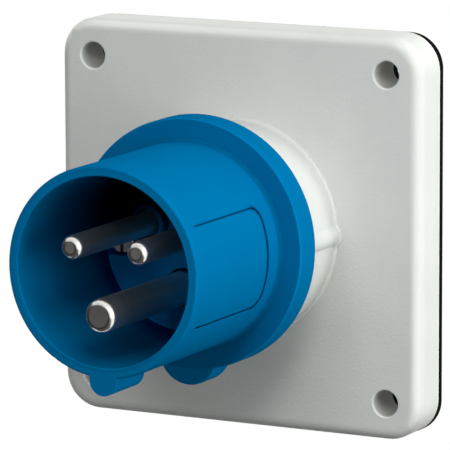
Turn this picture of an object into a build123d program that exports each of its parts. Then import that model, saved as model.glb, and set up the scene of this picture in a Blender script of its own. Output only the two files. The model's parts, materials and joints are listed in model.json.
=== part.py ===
# Panel inlet of the pin and sleeve kind: two poles and earth, 16 A, blue
# All sizes are in millimetres.
#
# Frame
#   Y runs along the contact axis, the front of the inlet looks toward -Y.
#   +Z is up and +X is to the right of someone facing the inlet.
#   The origin is on the contact axis, on the back of the gasket, which is
#   the plane that meets the panel.
#
# A depth below is a distance in front of that plane, so a depth d is y = -d.
# A gap is the clearance between two pieces that fit together, and a lap is
# how far one piece reaches over another.

import os
from math import cos, sin, radians, hypot, sqrt

from build123d import *

os.makedirs("parts", exist_ok=True)

PAST = 1.0              # how far a cut runs past the face where it comes out
WELD = 0.2              # how far shapes of one moulding reach into each other
NEAR = 0.01             # what counts as the same place when edges are picked

# Gasket
GASKET = 2.0            # thickness
GASKET_INSET = 0.3      # its outline inside the plate's outline
GASKET_STEP = 0.6       # its opening outside the collar's bore

# Square plate
PLATE = 86.0            # side
PLATE_THICK = 9.7
PLATE_EDGE = 2.5        # rounding of the front edge
PLATE_BACK_EDGE = 0.3   # rounding of the back edge
HOLE_INSET = 8.0        # hole centres inside the plate's sides
HOLE_R = 2.9
HOLE_ROUND = 0.35
CELL = 8.0              # square cells that lighten the back of the plate
CELL_WALL = 1.6         # between two cells
CELL_ROOF = 3.0         # plate left in front of the cells
CELL_RIM = 3.0          # plate left at the sides
CELL_BOSS = 3.0         # wall round each hole
CELL_HUB = 1.7          # wall round the collar

# Round collar, one moulding with the plate
COLLAR_PROUD = 1.45     # collar outside the blue sleeve's radius
COLLAR_WALL = 2.4
COLLAR_LONG = 16.2
BEAD = 0.6              # thin bead round the foot of the collar and rib
BEAD_ROUND = 0.5
RIB_R = 2.65            # half-round rib on the right of the collar
RIB_SINK = 1.8          # rib centre inside the collar's surface
RING_WALL = 2.3         # ring inside the foot of the collar
RING_HIGH = 3.0
POST_R = 2.8            # posts that take the two housing screws
POST_GAP = 1.7          # between a post and the spigot
GUSSET = 2.0            # rib that stiffens a post
GUSSET_GAP = 0.5        # between that rib and the spigot's end

# Blue housing: sleeve, disc, web and spigot
SLEEVE_R = 21.85
SLEEVE_WALL = 2.15
SLEEVE_LONG = 36.6
RIM_EDGE = 0.5          # rounding of the rim, outside and inside
RIM_INNER_EDGE = 0.25
ROOT = 0.7              # rounding where sleeve and disc meet
DISC_STEP = 4.85        # disc outside the sleeve
DISC_THICK = 6.5
DISC_EDGE = 0.45
DISC_BACK_EDGE = 0.25
LOBE_R = 7.0            # lobe that reaches down from the disc
LOBE_SINK = 3.7         # lobe centre inside the disc's edge
KEY_W = 6.2             # width of the key under the sleeve
KEY_OUT = 0.52          # centre of its round foot below the sleeve
KEY_SINK = 1.25         # how far it reaches into the sleeve's wall
KEY_LONG = 13.7
KEY_ROUND = 2.4         # rounding of its back end
WEB_SINK = 0.4          # web behind the disc's front
WEB_THICK = 3.0
SPIGOT_GAP = 0.15
SPIGOT_WALL = 1.55
SPIGOT_LONG = 12.9
FIELD_HIGH = 20.8       # engraved label field on the right of the sleeve
FIELD_AFTER = 5.7       # from the disc to the field
FIELD_BEFORE = 3.6      # from the field to the rim
FIELD_CORNER = 2.8
FIELD_LINE = 0.4
FIELD_DEEP = 0.3

# Seal between disc and collar
SEAL_INNER_WALL = 0.4   # collar left inside and outside the seal
SEAL_OUTER_WALL = 0.6
SEAL_HIGH = 1.2
SEAL_SIDE_GAP = 0.05

# Contact carrier
SHOULDER_GAP = 0.2      # between the carrier's shoulder and the spigot
SHOULDER_LAP = 0.5      # shoulder behind the web
SHOULDER_THICK = 4.0
CARRIER_GAP = 0.2       # between the carrier's front and the web
CARRIER_PROUD = 2.1     # its face in front of the web
CARRIER_EDGE = 0.3
BODY_STEP = 2.7         # body inside the shoulder
CORE_R = 2.6            # coring holes that keep the moulding's walls even
CORE_INSET = 6.3        # their centres inside the body's surface
CORE_ROOF = 5.1         # material left in front of them
NOTCH_GAP = 0.2         # notch inward of the post and its screw
NOTCH_ROOM = 0.5        # notch on both sides of them
EAR_GAP = 0.2           # web's ears inside the notches
BACK_END = 5.0          # rear face of the carrier's back plate
BACK_THICK = 2.5
BACK_EDGE = 0.4

# Contact pins, angles anticlockwise from +X as seen from the front
LINE_ANGLE = 150.0
NEUTRAL_ANGLE = 30.0
EARTH_ANGLE = 270.0
PIN_INSET = 10.93       # pin circle inside the sleeve's bore
POLE_R = 2.5
POLE_SHORT = 0.4        # pole tips behind the rim
EARTH_R = 3.5
EARTH_LEAD = 2.0        # earth tip in front of the pole tips
PIN_ROUND = 1.3         # rounding of the tips
PIN_STEP = 0.3          # thicker part of each pin, inside the carrier
PIN_GAP = 0.05
MOUTH_STEP = 0.6        # shallow recess round each pin in the carrier
MOUTH_DEEP = 2.0
BOSS_STEP = 1.6         # bosses round the two pole pins
BOSS_HIGH = 2.4
BOSS_EDGE = 0.6

# Terminals, in the rear ends of the pins
BARREL_STEP = 1.0       # barrel outside the pin, its step seats in the carrier
BARREL_LONG = 12.0
BARREL_GAP = 0.1
BARREL_PLAY = 0.5       # between the barrels and the back plate
BARREL_EDGE = 0.4
POLE_WIRE_R = 1.7       # bore for the conductor
EARTH_WIRE_R = 1.9
WIRE_ROOF = 2.0         # solid barrel in front of that bore
WIRE_ROOM = 0.3         # wire hole in the back plate outside the bore
WIRE_MOUTH = 0.6        # rounding of that hole
TERMINAL_R = 1.95       # terminal screws
TERMINAL_LONG = 6.0
TERMINAL_IN = 4.5       # their place in front of the barrel's end
TERMINAL_EDGE = 0.3
TERMINAL_SLOT = 0.7
TERMINAL_SLOT_DEEP = 1.2
TERMINAL_ROOM = 0.35    # screwdriver way round each screw
TIP_IN = 0.5            # screw tip inside the wire bore
THREAD_GAP = 0.05
CLAMP_THICK = 0.5       # saddle between screw tip and conductor
CLAMP_GAP = 0.05
CLAMP_SHORT = 0.8       # saddle's end behind the end of the bore
HOOK_THICK = 0.6        # hook of the saddle behind the barrel
HOOK_HIGH = 2.0
HOOK_ROOM = 0.3         # pocket for the hook in the back plate

# Slotted screws that hold the housing and the back plate
HEAD_EDGE = 0.3
SHANK_EDGE = 0.4
SLOT = 0.8
SLOT_DEEP = 1.1
FIX_HEAD_R = 2.75
FIX_HEAD = 2.0
FIX_SHANK_R = 1.45
FIX_LONG = 10.0
FIX_HOLE_GAP = 0.25     # hole through the web's ear round the shank
PILOT_GAP = 0.15        # blind hole under the insert
PILOT_SPARE = 4.0       # free depth under the screw's end
BACK_HEAD_R = 2.6
BACK_HEAD = 1.7
BACK_SHANK_R = 1.25
BACK_LONG = 11.0
BACK_HOLE_GAP = 0.35    # hole through the back plate round the shank
BACK_SPARE = 4.0        # free depth in front of the screw's end

# Threaded inserts in the posts
INSERT_R = 2.05
INSERT_LONG = 6.0
INSERT_GROOVE = 1.0
INSERT_GROOVE_DEEP = 0.25
INSERT_GROOVE_AT = 2.4

# Retaining ring behind the carrier's shoulder
KEEPER_THICK = 4.0
KEEPER_OUTER_GAP = 0.1
KEEPER_INNER_GAP = 0.2
KEEPER_POST_GAP = 0.3
LUG_STEP = 0.65         # three lugs that snap into the spigot's groove
LUG_THICK = 1.5
LUG_SPAN = 3.5
LUG_GAP = 0.1
GRIP_R = 0.9            # two holes for the tool that turns the ring home
GRIP_DEEP = 1.2
GRIP_ANGLE = 45.0

# Radii and depths that follow from the sizes above
PLATE_FRONT = GASKET + PLATE_THICK
COLLAR_END = PLATE_FRONT + COLLAR_LONG
DISC_FRONT = COLLAR_END + DISC_THICK
RIM = DISC_FRONT + SLEEVE_LONG
WEB_FRONT = DISC_FRONT - WEB_SINK
WEB_BACK = WEB_FRONT - WEB_THICK
SPIGOT_END = COLLAR_END - SPIGOT_LONG
SEAL_TOP = COLLAR_END + SEAL_HIGH
SHOULDER_BACK = WEB_BACK - SHOULDER_THICK
KEEPER_BACK = SHOULDER_BACK - KEEPER_THICK
CARRIER_FACE = WEB_FRONT + CARRIER_PROUD
BOSS_TOP = CARRIER_FACE + BOSS_HIGH
BODY_END = BACK_END + BACK_THICK
BARREL_END = BODY_END + BARREL_PLAY
BARREL_TOP = BARREL_END + BARREL_LONG
WIRE_TOP = BARREL_TOP - WIRE_ROOF
TERMINAL_AT = BARREL_END + TERMINAL_IN
RING_TOP = GASKET + RING_HIGH
POST_TOP = WEB_BACK

SLEEVE_BORE = SLEEVE_R - SLEEVE_WALL
DISC_R = SLEEVE_R + DISC_STEP
COLLAR_R = SLEEVE_R + COLLAR_PROUD
COLLAR_BORE = COLLAR_R - COLLAR_WALL
SPIGOT_R = COLLAR_BORE - SPIGOT_GAP
SPIGOT_BORE = SPIGOT_R - SPIGOT_WALL
SHOULDER_R = SPIGOT_BORE - SHOULDER_GAP
WEB_R = SHOULDER_R - SHOULDER_LAP
CARRIER_R = WEB_R - CARRIER_GAP
BODY_R = SHOULDER_R - BODY_STEP
KEEPER_R = SPIGOT_BORE - KEEPER_OUTER_GAP
KEEPER_BORE = BODY_R + KEEPER_INNER_GAP
LUG_R = KEEPER_R + LUG_STEP
SEAL_IN = COLLAR_BORE + SEAL_INNER_WALL
SEAL_OUT = COLLAR_R - SEAL_OUTER_WALL
PIN_CIRCLE = SLEEVE_BORE - PIN_INSET

# the notches clear the posts and the heads of their screws
FIX_X = SPIGOT_BORE - POST_GAP - POST_R
FIX_WIDEST = max(POST_R, FIX_HEAD_R)
NOTCH_X = FIX_X - FIX_WIDEST - NOTCH_GAP
NOTCH_HALF = FIX_WIDEST + NOTCH_ROOM

# the mouth is the front of the hole that a pin stands in
POLE = {
    "pin": POLE_R,
    "tip": RIM - POLE_SHORT,
    "mouth": BOSS_TOP,
    "barrel": POLE_R + BARREL_STEP,
    "wire": POLE_WIRE_R,
}
EARTH = {
    "pin": EARTH_R,
    "tip": RIM - POLE_SHORT + EARTH_LEAD,
    "mouth": CARRIER_FACE,
    "barrel": EARTH_R + BARREL_STEP,
    "wire": EARTH_WIRE_R,
}

# name, angle round the axis, sizes
POLES = [
    ("line", LINE_ANGLE, POLE),
    ("neutral", NEUTRAL_ANGLE, POLE),
    ("earth", EARTH_ANGLE, EARTH),
]
BETWEEN = [angle + 180 for name, angle, size in POLES]


def at(depth):
    """Plane across the contact axis at this depth, looking forward."""
    return Plane.XZ.offset(depth)


def round_bar(radius, back, front, x=0.0, z=0.0):
    """Round bar along the contact axis from one depth to another."""
    return extrude(at(back) * Pos(x, z) * Circle(radius), front - back)


def block(x0, x1, back, front, z0, z1):
    """Box between two depths."""
    size = Rectangle(x1 - x0, z1 - z0)
    place = Pos((x0 + x1) / 2, (z0 + z1) / 2)
    return extrude(at(back) * place * size, front - back)


def side_block(side, inner, outer, back, front, half):
    """Box on the left or right of the axis, this half width up and down."""
    x0, x1 = sorted((side * inner, side * outer))
    return block(x0, x1, back, front, -half, half)


def edges_at(shape, depth, radius=None):
    """Round edges at one depth, all of them or those of one radius."""
    found = shape.edges().filter_by(GeomType.CIRCLE)
    found = found.filter_by(lambda e: abs(e.center().Y + depth) < NEAR)
    if radius is None:
        return found
    return found.filter_by(lambda e: abs(e.radius - radius) < NEAR)


def spot(angle, radius):
    """Place on a circle round the contact axis."""
    return radius * cos(radians(angle)), radius * sin(radians(angle))


def outward(angle, radius, depth):
    """Plane on the pin axis whose normal looks straight outward."""
    x, z = spot(angle, radius)
    normal = (cos(radians(angle)), 0, sin(radians(angle)))
    return Plane(origin=(x, -depth, z), x_dir=(0, -1, 0), z_dir=normal)


def hole_places():
    half = PLATE / 2 - HOLE_INSET
    return [(-half, half), (half, half), (-half, -half), (half, -half)]


def save(name, shape):
    if isinstance(shape, ShapeList):
        shape = Compound(children=list(shape))
    solids = shape.solids()
    print(name, "solids", len(solids), "volume", round(shape.volume, 1))
    export_step(solids[0] if len(solids) == 1 else shape, "parts/" + name + ".step")


def cells():
    """Square cells in the back of the plate, clear of collar and holes."""
    half = CELL / 2
    step = CELL + CELL_WALL
    rows = int((PLATE / 2 - CELL_RIM - half) / step)
    hole = PLATE / 2 - HOLE_INSET
    found = []
    for i in range(-rows, rows + 1):
        for j in range(-rows, rows + 1):
            x = i * step
            z = j * step
            hub = hypot(max(abs(x) - half, 0), max(abs(z) - half, 0))
            boss = hypot(max(hole - abs(x) - half, 0), max(hole - abs(z) - half, 0))
            if hub > COLLAR_R + CELL_HUB and boss > HOLE_R + CELL_BOSS:
                found.append((x, z))
    return found


def mounting_flange():
    outline = RectangleRounded(PLATE, PLATE, HOLE_INSET)
    plate = extrude(at(GASKET) * outline, PLATE_THICK)
    plate = fillet(plate.faces().sort_by(Axis.Y)[0].edges(), PLATE_EDGE)
    plate = fillet(plate.faces().sort_by(Axis.Y)[-1].edges(), PLATE_BACK_EDGE)
    for x, z in hole_places():
        plate -= round_bar(HOLE_R, GASKET - PAST, PLATE_FRONT + PAST, x, z)
    plate = fillet(edges_at(plate, PLATE_FRONT, HOLE_R), HOLE_ROUND)
    half = CELL / 2
    floor = PLATE_FRONT - CELL_ROOF
    for x, z in cells():
        plate -= block(x - half, x + half, GASKET - PAST, floor, z - half, z + half)

    # the bead follows the collar and its rib
    foot = PLATE_FRONT - PAST
    rib_x = COLLAR_R - RIB_SINK
    outline = Circle(COLLAR_R + BEAD) + Pos(rib_x, 0) * Circle(RIB_R + BEAD)
    bead = extrude(at(foot) * outline, PAST + BEAD)
    bead = fillet(bead.faces().sort_by(Axis.Y)[0].edges(), BEAD_ROUND)
    body = plate + bead
    body += round_bar(COLLAR_R, foot, COLLAR_END)
    body += round_bar(RIB_R, foot, COLLAR_END, rib_x)
    body -= round_bar(COLLAR_BORE, RING_TOP, COLLAR_END + PAST)
    body -= round_bar(COLLAR_BORE - RING_WALL, GASKET - PAST, RING_TOP + PAST)

    # posts stand on tabs of the inner ring, stiffened to the collar wall
    wall = COLLAR_BORE + WELD
    insert_end = POST_TOP - INSERT_LONG
    pilot_end = WEB_FRONT - FIX_LONG - PILOT_SPARE
    for side in (-1, 1):
        x = side * FIX_X
        body += side_block(side, FIX_X, wall, GASKET, RING_TOP, POST_R)
        body += side_block(
            side, FIX_X + POST_R / 2, wall, GASKET, SPIGOT_END - GUSSET_GAP, GUSSET / 2
        )
        body += round_bar(POST_R, GASKET, POST_TOP, x)
        body -= round_bar(INSERT_R, insert_end, POST_TOP + PAST, x)
        body -= round_bar(FIX_SHANK_R + PILOT_GAP, pilot_end, POST_TOP, x)
    return body


def flange_gasket():
    side = PLATE - 2 * GASKET_INSET
    outline = RectangleRounded(side, side, HOLE_INSET - GASKET_INSET)
    sheet = extrude(at(0) * outline, GASKET)
    for x, z in hole_places():
        sheet -= round_bar(HOLE_R, -PAST, GASKET + PAST, x, z)
    return sheet - round_bar(COLLAR_BORE + GASKET_STEP, -PAST, GASKET + PAST)


def label_field():
    """Engraved outline on the right of the sleeve, open toward the rim."""
    back = DISC_FRONT + FIELD_AFTER
    front = RIM - FIELD_BEFORE
    start = SLEEVE_R + PAST
    side = Plane(origin=(start, 0, 0), x_dir=(0, -1, 0), z_dir=(-1, 0, 0))
    length = front - back + 2 * FIELD_CORNER
    outer = RectangleRounded(
        length + FIELD_LINE, FIELD_HIGH + FIELD_LINE, FIELD_CORNER + FIELD_LINE / 2
    )
    inner = RectangleRounded(
        length - FIELD_LINE, FIELD_HIGH - FIELD_LINE, FIELD_CORNER - FIELD_LINE / 2
    )
    stroke = extrude(side * Pos(back + length / 2, 0) * (outer - inner), start)
    stroke = stroke & round_bar(start, back - PAST, front)
    return stroke - round_bar(SLEEVE_R - FIELD_DEEP, back - PAST, RIM)


def inlet_housing():
    disc = round_bar(DISC_R, COLLAR_END, DISC_FRONT)
    lobe = round_bar(LOBE_R, COLLAR_END, DISC_FRONT, 0, LOBE_SINK - DISC_R)
    disc = fillet(edges_at(disc, DISC_FRONT), DISC_EDGE)
    disc = fillet(edges_at(disc, COLLAR_END), DISC_BACK_EDGE)
    lobe = fillet(edges_at(lobe, DISC_FRONT), DISC_EDGE)
    lobe = fillet(edges_at(lobe, COLLAR_END), DISC_BACK_EDGE)

    body = disc + round_bar(SLEEVE_R, DISC_FRONT - WELD, RIM)
    body = fillet(edges_at(body, DISC_FRONT, SLEEVE_R), ROOT)
    body += lobe - round_bar(SLEEVE_R, 0, RIM)
    body += round_bar(SPIGOT_R, SPIGOT_END, COLLAR_END + WELD)

    # key under the rim: straight sides, round foot, rounded at its back end
    foot = -SLEEVE_R - KEY_OUT
    top = KEY_SINK - SLEEVE_R
    key = round_bar(KEY_W / 2, RIM - KEY_LONG, RIM, 0, foot)
    key += block(-KEY_W / 2, KEY_W / 2, RIM - KEY_LONG, RIM, foot, top)
    rear = key.faces().sort_by(Axis.Y)[-1].edges()
    rear = rear.filter_by(lambda e: e.center().Z < top - NEAR)
    body += fillet(rear, min(KEY_ROUND, KEY_W / 2 - NEAR))

    # bores from the front and from the back leave the web between them
    body -= round_bar(SLEEVE_BORE, WEB_FRONT, RIM + PAST)
    body -= round_bar(WEB_R, WEB_BACK - PAST, WEB_FRONT + PAST)
    body -= round_bar(SPIGOT_BORE, SPIGOT_END - PAST, WEB_BACK)
    ear_in = NOTCH_X + EAR_GAP
    ear_half = NOTCH_HALF - EAR_GAP
    for side in (-1, 1):
        body += side_block(side, ear_in, WEB_R + WELD, WEB_BACK, WEB_FRONT, ear_half)
        hole = FIX_SHANK_R + FIX_HOLE_GAP
        body -= round_bar(hole, WEB_BACK - PAST, WEB_FRONT + PAST, side * FIX_X)

    # groove for the seal, groove for the retaining ring's lugs
    seal = round_bar(SEAL_OUT, COLLAR_END - PAST, SEAL_TOP)
    body -= seal - round_bar(SEAL_IN, COLLAR_END - PAST, SEAL_TOP)
    groove_front = KEEPER_BACK + LUG_THICK + LUG_GAP
    body -= round_bar(LUG_R + LUG_GAP, KEEPER_BACK - LUG_GAP, groove_front)

    body = fillet(edges_at(body, RIM, SLEEVE_R), RIM_EDGE)
    body = fillet(edges_at(body, RIM, SLEEVE_BORE), RIM_INNER_EDGE)
    return body - label_field()


def housing_seal():
    ring = round_bar(SEAL_OUT - SEAL_SIDE_GAP, COLLAR_END, SEAL_TOP)
    bore = SEAL_IN + SEAL_SIDE_GAP
    return ring - round_bar(bore, COLLAR_END - PAST, SEAL_TOP + PAST)


def notch(side):
    """Way for a post and its screw, right through the carrier."""
    return side_block(side, NOTCH_X, SHOULDER_R + PAST, 0, BOSS_TOP + PAST, NOTCH_HALF)


def contact_carrier():
    body = round_bar(CARRIER_R, SHOULDER_BACK, CARRIER_FACE)
    body = fillet(edges_at(body, CARRIER_FACE), CARRIER_EDGE)
    body += round_bar(SHOULDER_R, SHOULDER_BACK, WEB_BACK)
    body += round_bar(BODY_R, BODY_END, SHOULDER_BACK)

    for name, angle, size in POLES:
        x, z = spot(angle, PIN_CIRCLE)
        mouth = size["mouth"]
        if mouth > CARRIER_FACE:
            boss = round_bar(size["pin"] + BOSS_STEP, CARRIER_FACE - WELD, mouth, x, z)
            body += fillet(edges_at(boss, mouth), BOSS_EDGE)
        wide = size["pin"] + MOUTH_STEP
        body -= round_bar(wide, mouth - MOUTH_DEEP, mouth + PAST, x, z)
        tight = size["pin"] + PIN_STEP + PIN_GAP
        body -= round_bar(tight, BARREL_TOP - PAST, mouth, x, z)
        body -= round_bar(size["barrel"] + BARREL_GAP, BODY_END - PAST, BARREL_TOP, x, z)
        way = Circle(TERMINAL_R + TERMINAL_ROOM)
        body -= extrude(outward(angle, PIN_CIRCLE, TERMINAL_AT) * way, SHOULDER_R)
    for side in (-1, 1):
        body -= notch(side)

    for angle in BETWEEN:
        x, z = spot(angle, BODY_R - CORE_INSET)
        body -= round_bar(CORE_R, BODY_END - PAST, CARRIER_FACE - CORE_ROOF, x, z)
    screw_room = BACK_END + BACK_LONG + BACK_SPARE
    return body - round_bar(BACK_SHANK_R + THREAD_GAP, BODY_END - PAST, screw_room)


def clamp_half_width(size):
    """Half the chord of the wire bore at the screw's tip, less the clearance."""
    tip = size["wire"] - TIP_IN
    return sqrt((size["wire"] - CLAMP_GAP) ** 2 - tip**2)


def carrier_back():
    plate = round_bar(BODY_R, BACK_END, BODY_END)
    plate = fillet(edges_at(plate, BACK_END), BACK_EDGE)
    for side in (-1, 1):
        plate -= notch(side)
    for name, angle, size in POLES:
        x, z = spot(angle, PIN_CIRCLE)
        wire = size["wire"] + WIRE_ROOM
        plate -= round_bar(wire, BACK_END - PAST, BODY_END + PAST, x, z)
        plate = fillet(edges_at(plate, BACK_END, wire), WIRE_MOUTH)
        reach = size["wire"] - TIP_IN - CLAMP_THICK + HOOK_HIGH
        pocket = hypot(reach, clamp_half_width(size)) + CLAMP_GAP
        floor = BARREL_END - HOOK_THICK - HOOK_ROOM
        plate -= round_bar(pocket, floor, BODY_END + PAST, x, z)
    return plate - round_bar(BACK_SHANK_R + BACK_HOLE_GAP, 0, BODY_END + PAST)


def slotted_screw(head_r, head, shank_r, long):
    """Screw along Z: head below Z = 0 with its slot at the far end, shank up."""
    top = Pos(0, 0, -head / 2) * Cylinder(head_r, head)
    top = fillet(top.edges().group_by(Axis.Z)[0], HEAD_EDGE)
    shank = Pos(0, 0, long / 2) * Cylinder(shank_r, long)
    shank = chamfer(shank.edges().group_by(Axis.Z)[-1], SHANK_EDGE)
    body = top + shank
    return body - Pos(0, 0, -head) * Box(SLOT, 3 * head_r, 2 * SLOT_DEEP)


def carrier_back_screw():
    screw = slotted_screw(BACK_HEAD_R, BACK_HEAD, BACK_SHANK_R, BACK_LONG)
    place = Plane(origin=(0, -BACK_END, 0), x_dir=(1, 0, 0), z_dir=(0, -1, 0))
    return place * screw


def carrier_retainer():
    ring = round_bar(KEEPER_R, KEEPER_BACK, SHOULDER_BACK)
    lugs = round_bar(LUG_R, KEEPER_BACK, KEEPER_BACK + LUG_THICK)
    for angle in BETWEEN:
        x, z = spot(angle, KEEPER_R)
        ring += lugs & round_bar(LUG_SPAN, KEEPER_BACK, KEEPER_BACK + LUG_THICK, x, z)
    ring -= round_bar(KEEPER_BORE, KEEPER_BACK - PAST, SHOULDER_BACK + PAST)
    for side in (-1, 1):
        way = POST_R + KEEPER_POST_GAP
        ring -= round_bar(way, KEEPER_BACK - PAST, SHOULDER_BACK + PAST, side * FIX_X)
    for angle in (GRIP_ANGLE, GRIP_ANGLE + 180):
        x, z = spot(angle, (KEEPER_R + KEEPER_BORE) / 2)
        ring -= round_bar(GRIP_R, KEEPER_BACK - PAST, KEEPER_BACK + GRIP_DEEP, x, z)
    return ring


def contact_pin(angle, size):
    x, z = spot(angle, PIN_CIRCLE)
    rod = round_bar(size["pin"], BARREL_TOP - WELD, size["tip"], x, z)
    rod = fillet(edges_at(rod, size["tip"]), PIN_ROUND)
    foot = size["mouth"] - MOUTH_DEEP
    rod += round_bar(size["pin"] + PIN_STEP, BARREL_TOP - WELD, foot, x, z)
    barrel = round_bar(size["barrel"], BARREL_END, BARREL_TOP, x, z)
    pin = rod + chamfer(edges_at(barrel, BARREL_TOP, size["barrel"]), BARREL_EDGE)
    pin -= round_bar(size["wire"], BARREL_END - PAST, WIRE_TOP, x, z)
    thread = outward(angle, PIN_CIRCLE, TERMINAL_AT) * Circle(TERMINAL_R + THREAD_GAP)
    return pin - extrude(thread, size["barrel"] + PAST)


def terminal_screw(angle, size):
    """Headless slotted screw that points at the pin's axis."""
    plane = outward(angle, PIN_CIRCLE, TERMINAL_AT)
    tip = plane.offset(size["wire"] - TIP_IN)
    body = extrude(tip * Circle(TERMINAL_R), TERMINAL_LONG)
    body = chamfer(body.edges().filter_by(GeomType.CIRCLE), TERMINAL_EDGE)
    end = tip.offset(TERMINAL_LONG)
    return body - end * Box(TERMINAL_SLOT, 3 * TERMINAL_R, 2 * TERMINAL_SLOT_DEEP)


def wire_clamp(angle, size):
    """Thin saddle under the screw's tip, hooked over the barrel's rear end."""
    low = outward(angle, PIN_CIRCLE, 0).offset(size["wire"] - TIP_IN - CLAMP_THICK)
    wide = 2 * clamp_half_width(size)
    start = BARREL_END - HOOK_THICK
    long = WIRE_TOP - CLAMP_SHORT - start
    saddle = extrude(low * Pos(start + long / 2, 0) * Rectangle(long, wide), CLAMP_THICK)
    place = Pos(start + HOOK_THICK / 2, 0)
    return saddle + extrude(low * place * Rectangle(HOOK_THICK, wide), HOOK_HIGH)


def housing_screw(side):
    screw = slotted_screw(FIX_HEAD_R, FIX_HEAD, FIX_SHANK_R, FIX_LONG)
    seat = (side * FIX_X, -WEB_FRONT, 0)
    return Plane(origin=seat, x_dir=(1, 0, 0), z_dir=(0, 1, 0)) * screw


def post_insert(side):
    x = side * FIX_X
    back = POST_TOP - INSERT_LONG
    groove = back + INSERT_GROOVE_AT
    body = round_bar(INSERT_R, back, POST_TOP, x)
    cut = round_bar(INSERT_R, groove, groove + INSERT_GROOVE, x)
    cut -= round_bar(INSERT_R - INSERT_GROOVE_DEEP, groove, groove + INSERT_GROOVE, x)
    body -= cut
    return body - round_bar(FIX_SHANK_R + THREAD_GAP, back - PAST, POST_TOP + PAST, x)


save("mounting_flange", mounting_flange())
save("flange_gasket", flange_gasket())
save("inlet_housing", inlet_housing())
save("housing_seal", housing_seal())
save("contact_carrier", contact_carrier())
save("carrier_back", carrier_back())
save("carrier_back_screw", carrier_back_screw())
save("carrier_retainer", carrier_retainer())
for name, angle, size in POLES:
    save("pin_" + name, contact_pin(angle, size))
    save("terminal_screw_" + name, terminal_screw(angle, size))
    save("wire_clamp_" + name, wire_clamp(angle, size))
for label, side in (("left", -1), ("right", 1)):
    save("housing_screw_" + label, housing_screw(side))
    save("post_insert_" + label, post_insert(side))
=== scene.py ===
# Looks of the panel inlet: finishes, lamps, cards for reflections, floor and camera.
# Lengths are in metres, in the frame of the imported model: -Y is the front,
# +Z is up, and the origin is on the contact axis at the back of the gasket.

import json
import math

import bpy
from mathutils import Matrix, Vector


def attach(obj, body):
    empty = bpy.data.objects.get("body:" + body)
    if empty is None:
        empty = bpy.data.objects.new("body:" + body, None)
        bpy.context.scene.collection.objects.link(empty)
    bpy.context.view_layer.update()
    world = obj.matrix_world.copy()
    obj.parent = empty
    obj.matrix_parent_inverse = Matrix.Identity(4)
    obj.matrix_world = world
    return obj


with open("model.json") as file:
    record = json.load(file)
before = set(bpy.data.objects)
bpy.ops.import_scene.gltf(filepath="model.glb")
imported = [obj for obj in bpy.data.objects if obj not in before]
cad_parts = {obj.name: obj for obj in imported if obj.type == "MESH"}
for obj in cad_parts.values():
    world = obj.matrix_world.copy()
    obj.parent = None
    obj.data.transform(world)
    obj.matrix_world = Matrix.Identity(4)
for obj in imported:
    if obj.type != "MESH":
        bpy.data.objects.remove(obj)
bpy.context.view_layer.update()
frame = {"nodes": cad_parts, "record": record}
scene = bpy.context.scene
scene.view_settings.view_transform = "Standard"

MM = 0.001

# Camera, solved from edges of the photograph
PICTURE = 450.0                 # side of the picture in pixels
FOCAL = 4523.7                  # focal length in pixels
SENSOR = 36.0
CAMERA_PLACE = (0.438547, -0.854515, 0.165938)
CAMERA_AZIMUTH = 27.649
CAMERA_ELEVATION = 9.873
CAMERA_ROLL = -0.205
CLIP_START = 0.05
CLIP_END = 60.0

# Floor and even light
FLOOR = -0.110
FLOOR_SIZE = 12.0
FLOOR_COLOR = (0.80, 0.80, 0.80)
FLOOR_GLOW = 0.55               # keeps the floor pale in the object's shadow
SHADOW_NEAR = 0.12              # up to here the floor shows its shadow
SHADOW_REACH = 0.30             # beyond this it is plain white
FLOOR_BOUNCE = 0.15             # share of light that it throws back onto the object
AMBIENT = 0.30

# Lamps: name, place, diameter, power; each looks at the middle of the inlet
LIGHT_TARGET = (0.0, -0.02, 0.0)
LIGHTS = [
    ("right_high", (0.599, 0.095, 0.350), 0.20, 1.38),
    ("right_low", (0.692, 0.073, 0.073), 0.20, 1.20),
    ("right_near", (0.320, -0.120, 0.020), 0.14, 0.245),
    ("right_close", (0.200, -0.120, 0.030), 0.14, 0.042),
    ("top_right", (0.200, -0.120, 0.320), 0.14, 0.218),
    ("top_front", (0.200, -0.270, 0.320), 0.14, 0.186),
    ("front_high", (0.200, -0.420, 0.320), 0.14, 0.381),
    ("front", (0.000, -0.573, 0.402), 0.20, 0.573),
    ("front_low", (0.092, -0.655, 0.228), 0.20, 0.277),
    ("back", (-0.300, 0.190, 0.200), 0.16, 0.65),
]

# Cards that only reflections see: dark ones in front, a bright one on the right.
# Each fold is an azimuth with the bottom and top of the card there.
CARD_AWAY = 0.29
CARD_FOOT = -0.109
DARK_LEVEL = 0.046
DARK_NEAR = 0.08                # how near to the axis the card's foot comes
DARK_FOLDS = [(28, CARD_FOOT, -0.095), (14, CARD_FOOT, -0.05), (-5, CARD_FOOT, 0.0),
              (-27, CARD_FOOT, 0.015), (-37, CARD_FOOT, 0.05)]
STRIP_FOLDS = [(-5, 0.10, 0.13), (-20, 0.10, 0.13), (-40, 0.11, 0.14)]
BLACK_LEVEL = 0.01
BLACK_NEAR = 0.14
BLACK_FOLDS = [(-37, CARD_FOOT, 0.05), (-45, CARD_FOOT, 0.08),
               (-62, CARD_FOOT, 0.14), (-80, CARD_FOOT, 0.15)]
BRIGHT_LEVEL = 1.45
BRIGHT_AWAY = 0.30
BRIGHT_FOLDS = [(10, -0.04, 0.12), (35, -0.10, 0.25), (65, -0.10, 0.30),
                (90, -0.10, 0.22), (110, -0.08, 0.12)]

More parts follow.
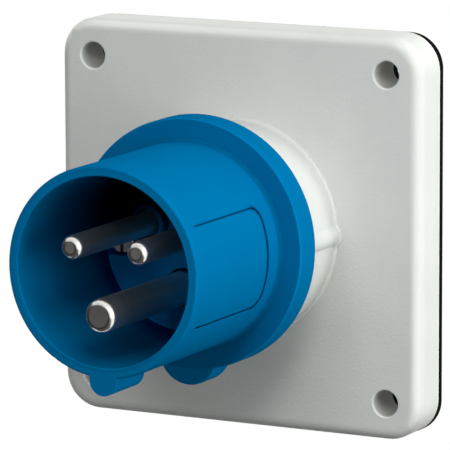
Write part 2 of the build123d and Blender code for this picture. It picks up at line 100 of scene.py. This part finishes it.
# Band that brings the gasket's edge out to the plate's outline at the bottom and corners
BAND_SIDE = 42.74 * MM
BAND_TOP = 42.68 * MM
BAND_BOTTOM = -42.98 * MM
BAND_CORNER = 7.4 * MM
BAND_INSIDE = 42.65 * MM        # its inner side lies just inside the gasket's edge
BAND_INSIDE_CORNER = 7.9 * MM
BAND_BACK = -0.03 * MM
BAND_FRONT = -1.90 * MM
BAND_STEPS = 20                 # per corner

# Places on the part that the finishes follow. Along Y, what lies further
# to the front has the lower number.
HOLE_AT = 35.0 * MM             # mounting holes beside and above the axis
HOLE_R = 2.9 * MM
PLATE_FRONT = -11.7 * MM
PLATE_BACK = -2.0 * MM
PLATE_FLAT = 40.5 * MM          # half the width of the plate's flat front
COLLAR_R = 28.15 * MM
BEAD_FRONT = -12.3 * MM         # thin bead round the collar's foot
RIM_FACE = -71.0 * MM
SLEEVE_R = 21.85 * MM
BORE_R = 20.5 * MM              # between the bore and the outside, where the wall is
LABEL_FRONT = -67.4 * MM        # ends of the engraved line
LABEL_BACK = -40.1 * MM
LABEL_HALF = 10.4 * MM
LABEL_CORNER = 2.8 * MM
DISC_FRONT = -34.4 * MM
DISC_ROUND_R = 26.5 * MM        # where the disc's front begins to round
CARRIER_FACE = -36.1 * MM
CARRIER_R = 18.3 * MM
BOSS_FACE = -38.5 * MM
HEAD_FACE = -36.0 * MM          # heads of the two housing screws
SLOT_FLOOR = -34.9 * MM
POLE_X = 7.595 * MM
POLE_Z = 4.385 * MM
POLE_FLAT = 1.2 * MM            # radius of the flat tip
EARTH_DOWN = 8.77 * MM
EARTH_FLAT = 2.2 * MM

# Finishes: linear colours
GREY = (0.700, 0.722, 0.685)
BLUE = (0.0, 0.146, 0.345)
BLUE_INNER = (0.0, 0.155, 0.400)
BLUE_SHEEN = (0.0, 0.5, 1.0, 1.0)
RUBBER = (0.004, 0.004, 0.0045)
INSULATION = (0.030, 0.031, 0.034)
NICKEL = (0.62, 0.60, 0.57)
ZINC = (0.58, 0.56, 0.52)
BRASS = (0.72, 0.52, 0.24)

# What the colours are multiplied by at places on the part. All of it is painted: shade
# where below 1, light and highlights where above 1, and reflections of the blue bore in the
# pins' tints
HOLE_WALL_SHADE = (0.75, 0.735, 0.725)
HOLE_EDGE_HIGHLIGHT = (1.22, 1.22, 1.23)
TOP_ROUNDING_HIGHLIGHT = (1.25, 1.25, 1.25)
SIDE_ROUNDING_HIGHLIGHT = (1.10, 1.10, 1.10)
PLATE_REAR_HIGHLIGHT = (1.35, 1.35, 1.35)
PLATE_UNDER_SHADE = (0.60, 0.61, 0.60)
BEAD = (1.26, 1.26, 1.26)
COLLAR = (0.90, 0.895, 0.90)
COLLAR_END_SHADE = (0.95, 0.95, 0.95)
LABEL_LINE_SHADE = (0.22, 0.25, 0.30)
LABEL_REAR_SHADE = (0.42, 0.46, 0.52)
RIM = (1.0, 1.14, 1.14)
DISC_EDGE_HIGHLIGHT = (1.0, 1.20, 1.20)
SLEEVE_ROOT_SHADE = (1.0, 0.84, 0.84)
BORE = (1.0, 1.08, 1.08)
BORE_BOTTOM_SHADE = (0.80, 0.80, 0.80)
BORE_MIDDLE_SHADE = (0.78, 0.78, 0.78)
BORE_TOP_SHADE = (0.08, 0.08, 0.12)
BORE_END_SHADE = (0.5, 0.35, 0.75)
CARRIER_TOP_SHADE = (0.05, 0.05, 0.09)
CARRIER_LEFT_SHADE = (0.10, 0.10, 0.10)
CARRIER_EDGE_HIGHLIGHT = (1.0, 2.0, 1.8)
PIN_TIP_LIGHT = (1.25, 1.25, 1.25)
PIN_RING_REFLECTION = (0.45, 0.45, 0.45)
PIN_SIDE_REFLECTION = (0.80, 0.90, 1.0)
PIN_DEEP_REFLECTION = (1.15, 1.55, 1.45)
PIN_ROOT_SHADE = (0.15, 0.15, 0.16)
SCREW_HEAD_LIGHT = (1.7, 1.5, 1.3)
SCREW_SLOT_SHADE = (0.25, 0.25, 0.25)

# Grain of the mouldings
COARSE_SIZE = 1.9               # against the fine grain
COARSE_DEPTH = 0.4
CLOUD_SIZE = 14.0 * MM          # slow change of the colour over the surface
CLOUD_SHARE = 0.025

NOISE_LOW = 0.3                 # most noise values lie between these
NOISE_HIGH = 0.7
MIX_FIRST = 6                   # the colour sockets of a Mix node
MIX_SECOND = 7
MIX_RESULT = 2


def direction(azimuth, elevation):
    """Unit vector toward a place seen at this azimuth and elevation."""
    a = math.radians(azimuth)
    e = math.radians(elevation)
    return Vector((math.sin(a) * math.cos(e), -math.cos(a) * math.cos(e), math.sin(e)))


def new_object(name, corners, faces, material):
    """Object of this name with one mesh and one material."""
    mesh = bpy.data.meshes.new(name)
    mesh.from_pydata(corners, [], faces)
    mesh.materials.append(material)
    made = bpy.data.objects.new(name, mesh)
    scene.collection.objects.link(made)
    return made


class Finish:
    """A material with its Principled shader and short ways to add nodes."""

    def __init__(self, name, color, roughness, metallic=0.0, specular=0.5):
        self.material = bpy.data.materials.new(name)
        self.material.use_nodes = True
        self.tree = self.material.node_tree
        self.shader = self.tree.nodes["Principled BSDF"]
        self.shader.inputs["Base Color"].default_value = (*color, 1.0)
        self.shader.inputs["Roughness"].default_value = roughness
        self.shader.inputs["Metallic"].default_value = metallic
        self.shader.inputs["Specular IOR Level"].default_value = specular
        self.place = self.node("ShaderNodeTexCoord").outputs["Object"]

    def node(self, kind, **settings):
        made = self.tree.nodes.new(kind)
        for key, value in settings.items():
            setattr(made, key, value)
        return made

    def link(self, source, target):
        self.tree.links.new(source, target)

    def split(self, vector):
        """The three parts of a vector."""
        parts = self.node("ShaderNodeSeparateXYZ")
        self.link(vector, parts.inputs["Vector"])
        return [parts.outputs[axis] for axis in "XYZ"]

    def normal(self):
        """The three parts of the surface's normal."""
        return self.split(self.node("ShaderNodeNewGeometry").outputs["Normal"])

    def math(self, operation, first, second=0.0):
        """Arithmetic on two values, each a number or another node's output."""
        made = self.node("ShaderNodeMath", operation=operation)
        for slot, value in zip(made.inputs, (first, second)):
            if isinstance(value, float):
                slot.default_value = value
            else:
                self.link(value, slot)
        return made.outputs["Value"]

    def away(self, value, length):
        """How far the size of a value is from this length, with its sign."""
        return self.math("SUBTRACT", self.math("ABSOLUTE", value), length)

    def times(self, first, *others):
        """Product of values."""
        total = first
        for value in others:
            total = self.math("MULTIPLY", total, value)
        return total

    def but(self, value):
        """1 where the value is 0, and 0 where it is 1."""
        return self.math("SUBTRACT", 1.0, value)

    def distance(self, first, second):
        """Length of a flat vector with these two parts."""
        flat = self.node("ShaderNodeCombineXYZ")
        self.link(first, flat.inputs["X"])
        self.link(second, flat.inputs["Y"])
        length = self.node("ShaderNodeVectorMath", operation="LENGTH")
        self.link(flat.outputs["Vector"], length.inputs[0])
        return length.outputs["Value"]

    def ramp(self, value, start, end, low=0.0, high=1.0):
        """Runs from low to high while the value goes from start to end."""
        made = self.node("ShaderNodeMapRange")
        made.inputs["From Min"].default_value = start
        made.inputs["From Max"].default_value = end
        made.inputs["To Min"].default_value = low
        made.inputs["To Max"].default_value = high
        self.link(value, made.inputs["Value"])
        return made.outputs["Result"]

    def stretched(self, across, along):
        """Coordinates for marks of these lengths across and along the Y axis."""
        mapping = self.node("ShaderNodeMapping")
        mapping.inputs["Scale"].default_value = (1.0 / across, 1.0 / along, 1.0 / across)
        self.link(self.place, mapping.inputs["Vector"])
        return mapping.outputs["Vector"]

    def noise(self, size, detail=2.0, where=None):
        """Noise whose features are about this size in metres."""
        made = self.node("ShaderNodeTexNoise")
        made.inputs["Scale"].default_value = 1.0 / size
        made.inputs["Detail"].default_value = detail
        self.link(where or self.place, made.inputs["Vector"])
        return made.outputs["Fac"]

    def spread(self, noise, low, high):
        """Turns noise into a number between low and high."""
        return self.ramp(noise, NOISE_LOW, NOISE_HIGH, low, high)

    def rough(self, noise, low, high):
        """Lets the roughness vary between low and high."""
        self.link(self.spread(noise, low, high), self.shader.inputs["Roughness"])

    def tint(self, color, share, noise):
        """Varies the base colour by a share of itself."""
        mix = self.node("ShaderNodeMix", data_type="RGBA")
        dark = [c * (1.0 - share) for c in color]
        light = [min(1.0, c * (1.0 + share)) for c in color]
        mix.inputs[MIX_FIRST].default_value = (*dark, 1.0)
        mix.inputs[MIX_SECOND].default_value = (*light, 1.0)
        self.link(self.spread(noise, 0.0, 1.0), mix.inputs["Factor"])
        self.link(mix.outputs[MIX_RESULT], self.shader.inputs["Base Color"])

    def shade(self, amount, factors):
        """Multiplies the base colour by these factors where the amount is 1, painting light or
        shade into it.
        """
        slot = self.shader.inputs["Base Color"]
        before = slot.links[0].from_socket
        mix = self.node("ShaderNodeMix", data_type="RGBA", blend_type="MULTIPLY")
        mix.inputs[MIX_SECOND].default_value = (*factors, 1.0)
        self.link(amount, mix.inputs["Factor"])
        self.link(before, mix.inputs[MIX_FIRST])
        self.link(mix.outputs[MIX_RESULT], slot)

    def bumps(self, *layers):
        """Height layers, each a value and its height in metres."""
        below = None
        for value, height in layers:
            bump = self.node("ShaderNodeBump")
            bump.inputs["Strength"].default_value = 1.0
            bump.inputs["Distance"].default_value = height
            self.link(value, bump.inputs["Height"])
            if below is not None:
                self.link(below, bump.inputs["Normal"])
            below = bump.outputs["Normal"]
        self.link(below, self.shader.inputs["Normal"])


def moulded(name, color, roughness, specular, grain, depth):
    """Moulded plastic with a fine spark-eroded grain."""
    f = Finish(name, color, roughness, specular=specular)
    fine = f.noise(grain)
    coarse = f.noise(grain * COARSE_SIZE)
    f.tint(color, CLOUD_SHARE, f.noise(CLOUD_SIZE, 3.0))
    f.rough(coarse, roughness - 0.04, roughness + 0.05)
    f.bumps((fine, depth), (coarse, depth * COARSE_DEPTH))
    return f


def satin_blue(name, color, roughness):
    """Blue moulding whose faint sheen has its own colour."""
    f = moulded(name, color, roughness, 0.0, 0.26 * MM, 0.006 * MM)
    f.shader.inputs["Metallic"].default_value = 0.06
    f.shader.inputs["Specular Tint"].default_value = BLUE_SHEEN
    return f


def shade_holes(f, x, y, z):
    """Mounting holes: painted shade on the walls, and a painted highlight round each front
    edge.
    """
    hole = f.distance(f.away(x, HOLE_AT), f.away(z, HOLE_AT))
    wall = f.times(f.ramp(hole, HOLE_R + 0.15 * MM, HOLE_R + 0.05 * MM),
                   f.ramp(y, PLATE_FRONT + 0.2 * MM, PLATE_FRONT + 1.2 * MM))
    f.shade(wall, HOLE_WALL_SHADE)
    ring = f.times(f.ramp(hole, HOLE_R - 0.02 * MM, HOLE_R + 0.04 * MM),
                   f.ramp(hole, HOLE_R + 0.28 * MM, HOLE_R + 0.16 * MM),
                   f.ramp(y, PLATE_FRONT + 0.6 * MM, PLATE_FRONT + 0.3 * MM))
    f.shade(ring, HOLE_EDGE_HIGHLIGHT)


def shade_plate_edges(f, x, y, z):
    """Plate: painted highlights on the roundings at the top and right and on the rear edge,
    painted shade on the undersides.
    """
    facing_x, facing_y, facing_z = f.normal()
    far = f.math("MAXIMUM", f.math("ABSOLUTE", x), f.math("ABSOLUTE", z))
    rounding = f.times(f.ramp(facing_y, -0.40, -0.70), f.ramp(facing_y, -0.997, -0.90),
                       f.ramp(far, PLATE_FLAT - 0.5 * MM, PLATE_FLAT))
    # Painted highlights on the roundings at the top and right
    top = f.times(rounding, f.ramp(facing_z, 0.0, 0.2), f.ramp(facing_x, 0.30, 0.05),
                  f.ramp(x, 30.0 * MM, -25.0 * MM, 0.4))
    f.shade(top, TOP_ROUNDING_HIGHLIGHT)
    side = f.times(rounding, f.ramp(facing_x, 0.0, 0.2), f.ramp(z, 30.0 * MM, -30.0 * MM))
    f.shade(side, SIDE_ROUNDING_HIGHLIGHT)

    # Painted highlight on the rear edge, painted shade on faces that look down
    border = f.ramp(far, PLATE_FLAT - 2.5 * MM, PLATE_FLAT - 0.5 * MM)
    rear = f.times(border, f.ramp(y, PLATE_BACK - 0.55 * MM, PLATE_BACK - 0.30 * MM))
    f.shade(rear, PLATE_REAR_HIGHLIGHT)
    f.shade(f.times(f.ramp(facing_z, -0.30, -0.95), border, f.but(rear)), PLATE_UNDER_SHADE)


def flange():
    """Grey moulding of plate and collar."""
    f = moulded("grey_plastic", GREY, 0.50, 0.15, 0.36 * MM, 0.050 * MM)
    x, y, z = f.split(f.place)
    shade_holes(f, x, y, z)
    shade_plate_edges(f, x, y, z)

    # Painted highlight on the bead round the collar's foot, painted shade on the collar, more
    # toward the disc
    radius = f.distance(x, z)
    bead = f.times(f.ramp(y, PLATE_FRONT - 0.02 * MM, PLATE_FRONT - 0.08 * MM),
                   f.ramp(y, BEAD_FRONT - 0.20 * MM, BEAD_FRONT),
                   f.ramp(radius, COLLAR_R + 0.05 * MM, COLLAR_R + 0.15 * MM))
    f.shade(bead, BEAD)
    f.shade(f.ramp(y, BEAD_FRONT - 0.05 * MM, BEAD_FRONT - 0.60 * MM), COLLAR)
    f.shade(f.ramp(y, -16.0 * MM, -25.0 * MM), COLLAR_END_SHADE)
    return f


def rubber():
    """Dull black rubber."""
    f = Finish("black_rubber_look", RUBBER, 0.72, specular=0.01)
    f.tint(RUBBER, 0.25, f.noise(3.0 * MM, 4.0))
    f.rough(f.noise(1.2 * MM, 3.0), 0.62, 0.82)
    f.bumps((f.noise(0.12 * MM), 0.010 * MM))
    return f


def plated(name, color, roughness, mark):
    """Plated metal with fine tool marks of this size."""
    f = Finish(name, color, roughness, metallic=1.0)
    marks = f.noise(1.0, 3.0, f.stretched(mark, mark))
    f.rough(marks, roughness - 0.05, roughness + 0.07)
    f.tint(color, 0.05, f.noise(2.0 * MM, 3.0))
    f.bumps((marks, 0.002 * MM))
    return f


def shade_label(f, radius, x, y, z):
    """Painted shade in the engraved line of the label field on the right of the sleeve, lighter
    at the top.
    """
    outside = f.times(f.ramp(radius, BORE_R + 0.4 * MM, BORE_R + 0.5 * MM),
                      f.ramp(x, 0.0, 1.0 * MM))
    groove = f.times(f.ramp(radius, SLEEVE_R - 0.03 * MM, SLEEVE_R - 0.09 * MM), outside,
                     f.ramp(y, LABEL_FRONT - 0.9 * MM, LABEL_FRONT - 0.7 * MM),
                     f.ramp(y, LABEL_BACK + 0.9 * MM, LABEL_BACK + 0.7 * MM))
    f.shade(f.times(groove, f.ramp(z, 0.0, 2.0 * MM, 1.0, 0.70)), LABEL_LINE_SHADE)

    # Wider painted shade round the rear end, by the distance from the line's middle
    past = f.math("MAXIMUM", f.math("SUBTRACT", y, LABEL_BACK - LABEL_CORNER), 0.0)
    above = f.math("MAXIMUM", f.away(z, LABEL_HALF - LABEL_CORNER), 0.0)
    off = f.math("ABSOLUTE", f.math("SUBTRACT", f.distance(past, above), LABEL_CORNER))
    rear = f.times(f.ramp(off, 0.75 * MM, 0.30 * MM), outside,
                   f.ramp(y, LABEL_BACK - 3.8 * MM, LABEL_BACK - 1.8 * MM))
    f.shade(rear, LABEL_REAR_SHADE)


def shade_bore(f, radius, y, z):
    """The bore gets a little painted light, then painted shade toward its bottom, its depth,
    above all its top, and at its end.
    """
    inside = f.ramp(radius, BORE_R + 0.1 * MM, BORE_R - 0.1 * MM)
    f.shade(inside, BORE)
    f.shade(f.times(inside, f.ramp(z, -12.0 * MM, -17.0 * MM)), BORE_BOTTOM_SHADE)
    f.shade(f.times(inside, f.ramp(y, -59.0 * MM, -50.0 * MM)), BORE_MIDDLE_SHADE)
    deep = f.times(inside, f.ramp(y, -52.0 * MM, -38.0 * MM), f.ramp(z, -5.0 * MM, 6.0 * MM))
    f.shade(deep, BORE_TOP_SHADE)
    f.shade(f.times(inside, f.ramp(y, -42.0 * MM, -36.0 * MM)), BORE_END_SHADE)


def sleeve():
    """Blue moulding of sleeve, disc and key."""
    f = satin_blue("blue_plastic", BLUE, 0.46)
    x, y, z = f.split(f.place)
    radius = f.distance(x, z)
    shade_label(f, radius, x, y, z)

    # The rim's face gets a little painted light, the disc's front edge a painted highlight, the
    # sleeve's root painted shade
    f.shade(f.ramp(y, RIM_FACE + 0.5 * MM, RIM_FACE + 0.1 * MM), RIM)
    edge = f.times(f.ramp(radius, DISC_ROUND_R - 0.20 * MM, DISC_ROUND_R),
                   f.ramp(y, DISC_FRONT + 0.35 * MM, DISC_FRONT + 0.20 * MM))
    f.shade(edge, DISC_EDGE_HIGHLIGHT)
    root = f.times(f.ramp(radius, SLEEVE_R + 1.05 * MM, SLEEVE_R + 0.45 * MM),
                   f.ramp(radius, SLEEVE_R - 0.35 * MM, SLEEVE_R - 0.15 * MM),
                   f.ramp(y, DISC_FRONT - 1.1 * MM, DISC_FRONT - 0.5 * MM))
    f.shade(root, SLEEVE_ROOT_SHADE)
    shade_bore(f, radius, y, z)
    return f


def carrier():
    """Blue moulding round the pins, painted shade toward its top and left, less on the bosses,
    and a painted highlight on its front edge.
    """
    f = satin_blue("blue_inner", BLUE_INNER, 0.50)
    x, y, z = f.split(f.place)
    boss = f.ramp(y, BOSS_FACE + 0.3 * MM, BOSS_FACE + 0.1 * MM, 1.0, 0.76)
    front = f.times(f.ramp(y, -30.0 * MM, -33.0 * MM), boss)
    f.shade(f.times(front, f.ramp(z, -0.5 * MM, 7.0 * MM)), CARRIER_TOP_SHADE)
    left = f.times(f.ramp(x, -4.0 * MM, -11.0 * MM), f.ramp(z, 0.0, 4.0 * MM))
    f.shade(f.times(front, left), CARRIER_LEFT_SHADE)
    edge = f.times(f.ramp(f.distance(x, z), CARRIER_R - 0.40 * MM, CARRIER_R - 0.25 * MM),
                   f.ramp(y, CARRIER_FACE + 0.4 * MM, CARRIER_FACE + 0.3 * MM))
    f.shade(edge, CARRIER_EDGE_HIGHLIGHT)
    return f


def pins():
    """Nickel plated pins with faint turning marks, painted light on the tips, painted
    reflections of the blue bore on the sides, painted shade inside the carrier.
    """
    f = Finish("nickel", NICKEL, 0.30, metallic=0.95)
    x, y, z = f.split(f.place)
    tip = f.ramp(f.normal()[1], -0.05, -0.25)
    side = f.but(tip)
    marks = f.noise(1.0, 2.0, f.stretched(3.0 * MM, 0.12 * MM))
    rough = f.math("ADD", f.spread(marks, 0.33, 0.38), f.math("MULTIPLY", tip, -0.12))
    f.link(rough, f.shader.inputs["Roughness"])
    f.bumps((marks, 0.0006 * MM))
    f.tint(NICKEL, 0.03, f.noise(2.5 * MM, 3.0))
    # Painted light on the tips; the sides painted darker and bluer, and teal further in, as
    # reflections of the bore
    f.shade(tip, PIN_TIP_LIGHT)
    f.shade(side, PIN_SIDE_REFLECTION)
    f.shade(f.times(side, f.ramp(y, -66.0 * MM, -48.0 * MM)), PIN_DEEP_REFLECTION)

    # Painted dark reflection, a thin ring where each flat tip begins to round
    pole = f.distance(f.away(x, POLE_X), f.math("SUBTRACT", z, POLE_Z))
    earth = f.distance(x, f.math("ADD", z, EARTH_DOWN))
    pole_ring = f.times(f.ramp(pole, POLE_FLAT - 0.15 * MM, POLE_FLAT),
                        f.ramp(pole, POLE_FLAT + 0.35 * MM, POLE_FLAT + 0.20 * MM))
    earth_ring = f.times(f.ramp(earth, EARTH_FLAT - 0.05 * MM, EARTH_FLAT + 0.10 * MM),
                         f.ramp(earth, EARTH_FLAT + 0.40 * MM, EARTH_FLAT + 0.25 * MM))
    f.shade(f.times(tip, f.math("MAXIMUM", pole_ring, earth_ring)), PIN_RING_REFLECTION)

    # Painted shade on the pins inside the carrier
    f.shade(f.ramp(y, BOSS_FACE + 1.0 * MM, BOSS_FACE + 2.2 * MM), PIN_ROOT_SHADE)
    return f


def zinc():
    """Zinc plated screws: the front heads painted brighter and less metallic, with painted
    shade in their slots.
    """
    f = plated("zinc", ZINC, 0.34, 0.25 * MM)
    y = f.split(f.place)[1]
    face = (HEAD_FACE + 0.10 * MM, HEAD_FACE + 0.03 * MM)
    f.shade(f.ramp(y, *face), SCREW_HEAD_LIGHT)
    f.link(f.ramp(y, *face, 1.0, 0.65), f.shader.inputs["Metallic"])
    slot = f.times(f.ramp(y, HEAD_FACE + 0.02 * MM, HEAD_FACE + 0.10 * MM),
                   f.ramp(y, SLOT_FLOOR + 0.9 * MM, SLOT_FLOOR + 0.8 * MM))
    f.shade(slot, SCREW_SLOT_SHADE)
    return f


looks = {
    "grey_housing": flange(),
    "blue_sleeve": sleeve(),
    "blue_carrier": carrier(),
    "black_insulation": moulded("black_plastic", INSULATION, 0.5, 0.4, 0.3 * MM, 0.01 * MM),
    "black_rubber": rubber(),
    "nickel_pin": pins(),
    "zinc_steel": zinc(),
    "insert_brass": plated("brass", BRASS, 0.30, 0.2 * MM),
}


def dress_nodes():
    """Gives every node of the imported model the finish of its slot."""
    for part in frame["record"]["subparts"]:
        mesh = frame["nodes"][part["node"]].data
        mesh.materials.clear()
        mesh.materials.append(looks[part["material_slot"]].material)


def rounded_outline(side, top, bottom, corner):
    """Points round a rectangle with round corners, as X and Z."""
    across = side - corner
    middles = ((across, top - corner), (-across, top - corner),
               (-across, bottom + corner), (across, bottom + corner))
    points = []
    for quarter, (x, z) in enumerate(middles):
        for step in range(BAND_STEPS + 1):
            a = math.radians(90.0 * (quarter + step / BAND_STEPS))
            points.append((x + corner * math.cos(a), z + corner * math.sin(a)))
    return points


def make_band():
    """Thin band of rubber round the gasket."""
    outer = rounded_outline(BAND_SIDE, BAND_TOP, BAND_BOTTOM, BAND_CORNER)
    inner = rounded_outline(BAND_INSIDE, BAND_INSIDE, -BAND_INSIDE, BAND_INSIDE_CORNER)
    rings = ((outer, BAND_BACK), (outer, BAND_FRONT), (inner, BAND_FRONT), (inner, BAND_BACK))
    corners = [(x, y, z) for points, y in rings for x, z in points]
    count = len(outer)
    faces = []
    for ring in range(len(rings)):
        first = ring * count
        second = (ring + 1) % len(rings) * count
        for i in range(count):
            after = (i + 1) % count
            faces.append((first + i, first + after, second + after, second + i))
    band = new_object("gasket_band", corners, faces, looks["black_rubber"].material)
    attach(band, "root")


def background_rays(tree):
    """1 for rays that should see the white background, 0 for light on the object."""
    path = tree.nodes.new("ShaderNodeLightPath")
    seen = path.outputs["Is Camera Ray"]
    for name in ("Is Glossy Ray", "Is Transmission Ray"):
        both = tree.nodes.new("ShaderNodeMath")
        both.operation = "MAXIMUM"
        tree.links.new(seen, both.inputs[0])
        tree.links.new(path.outputs[name], both.inputs[1])
        seen = both.outputs["Value"]
    return seen


def make_world():
    """Even light on the object, and a white background behind it."""
    world = bpy.data.worlds.new("studio")
    scene.world = world
    world.use_nodes = True
    tree = world.node_tree
    light = tree.nodes["Background"]
    light.inputs["Color"].default_value = (1.0, 1.0, 1.0, 1.0)
    light.inputs["Strength"].default_value = AMBIENT
    white = tree.nodes.new("ShaderNodeBackground")
    white.inputs["Color"].default_value = (1.0, 1.0, 1.0, 1.0)
    white.inputs["Strength"].default_value = 1.0
    mix = tree.nodes.new("ShaderNodeMixShader")
    tree.links.new(background_rays(tree), mix.inputs[0])
    tree.links.new(light.outputs["Background"], mix.inputs[1])
    tree.links.new(white.outputs["Background"], mix.inputs[2])
    tree.links.new(mix.outputs["Shader"], tree.nodes["World Output"].inputs["Surface"])


def make_floor():
    """Pale floor: white as seen, softened by the object's shadow close to it."""
    f = Finish("floor_look", FLOOR_COLOR, 0.8, specular=0.1)
    dull = f.node("ShaderNodeBsdfDiffuse")
    dull.inputs["Color"].default_value = (FLOOR_BOUNCE, FLOOR_BOUNCE, FLOOR_BOUNCE, 1.0)
    white = f.node("ShaderNodeEmission")
    white.inputs["Strength"].default_value = 1.0
    glow = f.node("ShaderNodeEmission")
    glow.inputs["Strength"].default_value = FLOOR_GLOW
    shaded = f.node("ShaderNodeAddShader")
    f.link(glow.outputs["Emission"], shaded.inputs[0])
    f.link(f.shader.outputs["BSDF"], shaded.inputs[1])

    # Seen near the object with its shadow, and plain white further off
    length = f.node("ShaderNodeVectorMath", operation="LENGTH")
    f.link(f.place, length.inputs[0])
    far = f.node("ShaderNodeMapRange", interpolation_type="SMOOTHSTEP")
    far.inputs["From Min"].default_value = SHADOW_NEAR
    far.inputs["From Max"].default_value = SHADOW_REACH
    f.link(length.outputs["Value"], far.inputs["Value"])
    seen = f.node("ShaderNodeMixShader")
    f.link(far.outputs["Result"], seen.inputs[0])
    f.link(shaded.outputs["Shader"], seen.inputs[1])
    f.link(white.outputs["Emission"], seen.inputs[2])

    mix = f.node("ShaderNodeMixShader")
    f.link(background_rays(f.tree), mix.inputs[0])
    f.link(dull.outputs["BSDF"], mix.inputs[1])
    f.link(seen.outputs["Shader"], mix.inputs[2])
    f.link(mix.outputs["Shader"], f.tree.nodes["Material Output"].inputs["Surface"])

    h = FLOOR_SIZE / 2
    corners = [(-h, -h, FLOOR), (h, -h, FLOOR), (h, h, FLOOR), (-h, h, FLOOR)]
    new_object("floor", corners, [(0, 1, 2, 3)], f.material)


def card_wall(folds, away=CARD_AWAY):
    """Corners of the standing part of a card, in pairs."""
    corners = []
    for azimuth, low, high in folds:
        foot = direction(azimuth, 0.0) * away
        corners += [(foot.x, foot.y, low), (foot.x, foot.y, high)]
    return corners


def card_foot(folds, near):
    """Corners of the part of a card that lies above the floor, in pairs."""
    corners = []
    for azimuth, _, _ in folds:
        for away in (near, CARD_AWAY):
            place = direction(azimuth, 0.0) * away
            corners.append((place.x, place.y, CARD_FOOT))
    return corners


def make_card(name, level, *sheets):
    """Card of one even brightness that nothing but reflections can see."""
    corners = []
    faces = []
    for sheet in sheets:
        first = len(corners)
        corners += sheet
        faces += [(i, i + 2, i + 3, i + 1) for i in range(first, len(corners) - 2, 2)]
    f = Finish(name + "_look", (0.0, 0.0, 0.0), 0.9, specular=0.0)
    f.shader.inputs["Emission Color"].default_value = (1.0, 1.0, 1.0, 1.0)
    f.shader.inputs["Emission Strength"].default_value = level
    card = new_object(name, corners, faces, f.material)
    card.visible_camera = False
    card.visible_diffuse = False
    card.visible_shadow = False
    card.visible_transmission = False
    card.visible_volume_scatter = False


def make_light(name, place, size, power):
    """Round lamp that lights the inlet but isn't seen, nor reflected."""
    light = bpy.data.lights.new(name, "AREA")
    light.shape = "DISK"
    light.size = size
    light.energy = power
    lamp = bpy.data.objects.new(name, light)
    toward = Vector(place) - Vector(LIGHT_TARGET)
    lamp.location = place
    lamp.rotation_mode = "QUATERNION"
    lamp.rotation_quaternion = toward.to_track_quat("Z", "Y")
    lamp.visible_camera = False
    lamp.visible_glossy = False
    scene.collection.objects.link(lamp)


def make_camera():
    """The photograph's camera."""
    data = bpy.data.cameras.new("camera")
    data.sensor_width = SENSOR
    data.lens = FOCAL / PICTURE * SENSOR
    data.clip_start = CLIP_START
    data.clip_end = CLIP_END
    camera = bpy.data.objects.new("camera", data)
    a = math.radians(CAMERA_AZIMUTH)
    r = math.radians(CAMERA_ROLL)
    back = direction(CAMERA_AZIMUTH, CAMERA_ELEVATION)
    level = Vector((math.cos(a), math.sin(a), 0.0))
    upright = back.cross(level)
    right = level * math.cos(r) + upright * math.sin(r)
    up = upright * math.cos(r) - level * math.sin(r)
    turn = Matrix((right, up, back)).transposed().to_4x4()
    camera.matrix_world = Matrix.Translation(CAMERA_PLACE) @ turn
    scene.collection.objects.link(camera)
    scene.camera = camera


dress_nodes()
make_world()
make_floor()
make_band()
make_card("dark_card", DARK_LEVEL, card_wall(DARK_FOLDS), card_foot(DARK_FOLDS, DARK_NEAR),
          card_wall(STRIP_FOLDS))
make_card("black_card", BLACK_LEVEL, card_wall(BLACK_FOLDS), card_foot(BLACK_FOLDS, BLACK_NEAR))
make_card("bright_card", BRIGHT_LEVEL, card_wall(BRIGHT_FOLDS, BRIGHT_AWAY))
for lamp_settings in LIGHTS:
    make_light(*lamp_settings)
make_camera()
